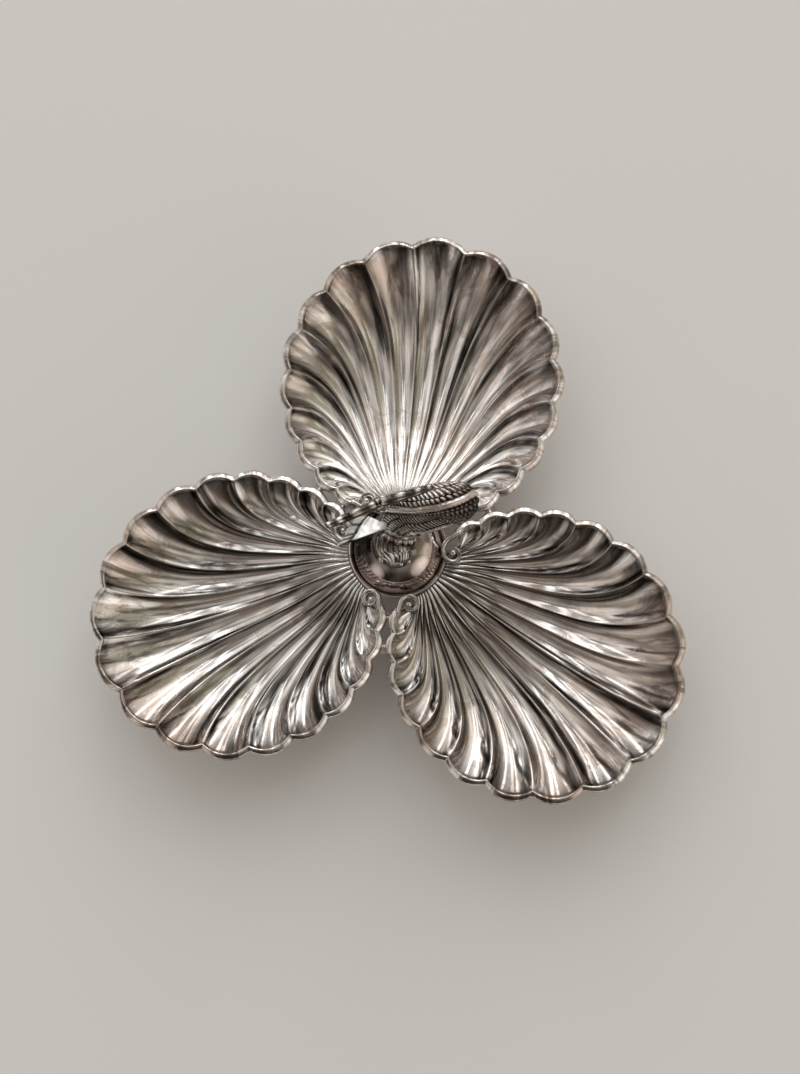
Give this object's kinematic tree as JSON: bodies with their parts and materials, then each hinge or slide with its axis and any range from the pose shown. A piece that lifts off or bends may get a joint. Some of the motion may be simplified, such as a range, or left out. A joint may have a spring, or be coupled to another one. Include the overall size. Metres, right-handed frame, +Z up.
{
  "type": "shell serving dish",
  "caption": "Polished silver serving dish of fluted scallop-shell bowls joined round a domed hub, with a cast dolphin as its handle, standing on small bun feet.",
  "frame": {"origin": "middle of the dish's outline, on the surface it stands on", "axes": "+Z up; +Y towards the tip of the back shell; +X towards the right shell when the back shell points away"},
  "size_m": [0.2662, 0.2482, 0.1091],
  "materials": {
    "bowl_silver": "polished silver plate, a little worn and toned",
    "hub_silver": "polished silver plate",
    "handle_silver": "cast and chased silver plate, dark in its recesses",
    "solder": "dull silver solder",
    "brass": "plain turned brass"
  },
  "bodies": {
    "root": {"back_shell": "bowl_silver", "left_shell": "bowl_silver", "right_shell": "bowl_silver", "back_left_inner_bridge": "solder", "left_right_inner_bridge": "solder", "right_back_inner_bridge": "solder", "back_left_outer_bridge": "solder", "left_right_outer_bridge": "solder", "right_back_outer_bridge": "solder", "hub_plate": "hub_silver", "dome_collar": "hub_silver", "dome": "hub_silver", "pedestal": "hub_silver", "dolphin_body": "handle_silver", "left_fin": "handle_silver", "right_fin": "handle_silver", "tail_fan": "handle_silver", "stud": "brass", "washer": "brass", "nut": "brass", "back_foot": "hub_silver", "left_foot": "hub_silver", "right_foot": "hub_silver"}
  },
  "joints": []
}
